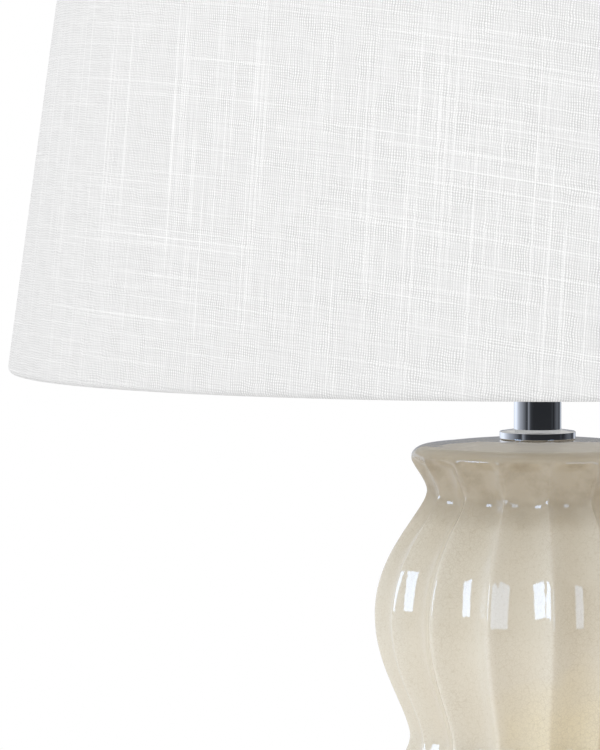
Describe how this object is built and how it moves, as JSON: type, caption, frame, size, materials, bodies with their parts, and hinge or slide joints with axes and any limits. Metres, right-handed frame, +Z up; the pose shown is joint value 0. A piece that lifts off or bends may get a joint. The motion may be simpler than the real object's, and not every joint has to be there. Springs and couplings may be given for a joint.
{
  "type": "table lamp",
  "caption": "Table lamp: a fluted double-gourd ceramic body, polished neck, turn-switch socket, wire harp and a tapered linen shade held by a finial.",
  "frame": {"origin": "centre of the felt pad's underside, on the table", "axes": "+Z up along the lamp's axis, -Y towards the front, where the switch knob points, +Y towards the cord hole and the shade's seam"},
  "size_m": [0.4058, 0.4062, 0.6094],
  "materials": {
    "glaze": "cream crackle glaze, glossy",
    "felt": "charcoal felt",
    "grommet": "matt black",
    "zinc_steel": "zinc plated",
    "polished": "polished",
    "nickel": "satin nickel plated",
    "insulating_board": "pressed fibre",
    "phenolic": "moulded, satin",
    "brass": "bright",
    "knob": "moulded black",
    "bulb_diffuser": "frosted white",
    "bulb_housing": "satin white",
    "bulb_base": "bright",
    "white_wire": "white coated",
    "backing": "white sheet",
    "linen": "white slub linen"
  },
  "bodies": {
    "base": {"felt_pad": "felt", "ceramic_body": "glaze", "cord_grommet": "grommet", "bottom_washer": "zinc_steel", "bottom_lock_washer": "zinc_steel", "bottom_nut": "zinc_steel", "lamp_pipe": "zinc_steel", "collar": "polished", "neck_tube": "polished", "neck_cap": "polished", "harp_saddle": "nickel", "saddle_nut": "zinc_steel", "socket_cap": "nickel", "socket_set_screw": "zinc_steel", "socket_shell": "nickel", "socket_liner": "insulating_board", "socket_core": "phenolic", "terminal_screws": "brass", "screw_shell": "brass", "centre_contact": "brass", "harp": "nickel"},
    "shade": {"harp_swivel_stud": "nickel", "shade_spider": "nickel", "shade_top_ring": "white_wire", "shade_bottom_ring": "white_wire", "shade_liner": "backing", "shade_fabric": "linen"},
    "finial": {"finial": "polished"},
    "switch": {"switch_shaft": "brass", "switch_knob": "knob"},
    "ferrule_left": {"ferrule_left": "nickel"},
    "ferrule_right": {"ferrule_right": "nickel"},
    "bulb": {"bulb_globe": "bulb_diffuser", "bulb_housing": "bulb_housing", "bulb_screw_base": "bulb_base", "bulb_insulator": "phenolic", "bulb_contact": "brass"}
  },
  "joints": [
    {"name": "shade_swivel", "type": "hinge", "parent": "base", "child": "shade", "pos_m": [0, 0, 0.5795], "axis": [0, 0, 1], "continuous": true},
    {"name": "finial_turn", "type": "hinge", "parent": "shade", "child": "finial", "pos_m": [0, 0, 0.5819], "axis": [0, 0, 1], "continuous": true},
    {"name": "switch_turn", "type": "hinge", "parent": "base", "child": "switch", "pos_m": [0, 0, 0.3939], "axis": [0, -1, 0], "continuous": true},
    {"name": "ferrule_left_slide", "type": "slide", "parent": "base", "child": "ferrule_left", "axis": [0, 0, 1], "range_m": [0, 0.012]},
    {"name": "ferrule_right_slide", "type": "slide", "parent": "base", "child": "ferrule_right", "axis": [0, 0, 1], "range_m": [0, 0.012]},
    {"name": "bulb_turn", "type": "hinge", "parent": "base", "child": "bulb", "pos_m": [0, 0, 0.4302], "axis": [0, 0, 1], "continuous": true}
  ]
}
